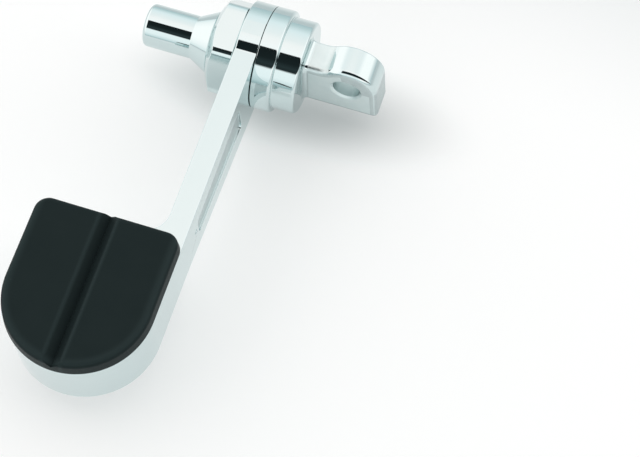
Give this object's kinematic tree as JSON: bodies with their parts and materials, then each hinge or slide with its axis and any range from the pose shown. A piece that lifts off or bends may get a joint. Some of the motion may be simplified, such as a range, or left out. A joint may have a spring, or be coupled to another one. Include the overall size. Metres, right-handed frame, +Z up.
{
  "type": "foot peg",
  "caption": "Offset folding motorcycle foot peg: clevis tongue and collar, swinging arm with jam nut, D-shaped rubber-topped foot pad.",
  "frame": {"origin": "centre of the clevis pin bore in the tongue", "axes": "+X along the shaft towards the motorcycle, -Y out along the arm to the pad, +Z up out of the pad's tread"},
  "size_m": [0.0963, 0.1597, 0.0419],
  "materials": {
    "chrome_cast": "chrome plate, polished on top and satin as cast on the tongue's sides",
    "chrome_turned": "mirror-polished chrome plate on a turned bar",
    "chrome_polished": "mirror-polished chrome plate on a casting",
    "chrome_nut": "chrome plate over machined flats",
    "spring_steel": "plain hardened steel",
    "zinc_steel": "bright zinc plate",
    "black_rubber": "moulded satin-matte black rubber"
  },
  "bodies": {
    "mount": {"clevis_mount": "chrome_cast", "shaft_stud": "chrome_turned", "stud_lock_pin": "spring_steel", "friction_washer": "spring_steel"},
    "arm": {"peg_arm": "chrome_polished", "pad_plate": "zinc_steel", "rubber_pad": "black_rubber", "pad_stud_1": "zinc_steel", "pad_washer_1": "zinc_steel", "pad_nut_1": "zinc_steel", "pad_stud_2": "zinc_steel", "pad_washer_2": "zinc_steel", "pad_nut_2": "zinc_steel", "pad_stud_3": "zinc_steel", "pad_washer_3": "zinc_steel", "pad_nut_3": "zinc_steel"},
    "washer": {"lock_washer": "spring_steel"},
    "nut": {"jam_nut": "chrome_nut"}
  },
  "joints": [
    {"name": "arm_swing", "type": "hinge", "parent": "mount", "child": "arm", "pos_m": [-0.0365, 0, -0.0032], "axis": [-1, 0, 0], "continuous": true},
    {"name": "washer_slide", "type": "slide", "parent": "mount", "child": "washer", "axis": [-1, 0, 0], "range_m": [0, 0.0023]},
    {"name": "nut_turn", "type": "hinge", "parent": "washer", "child": "nut", "pos_m": [-0.0459, 0, -0.0032], "axis": [-1, 0, 0], "range_deg": [0, 521.6]}
  ],
  "couplings": [
    {"joint": "nut_turn", "follows": "washer_slide", "rad_per_m": 3957.9}
  ]
}
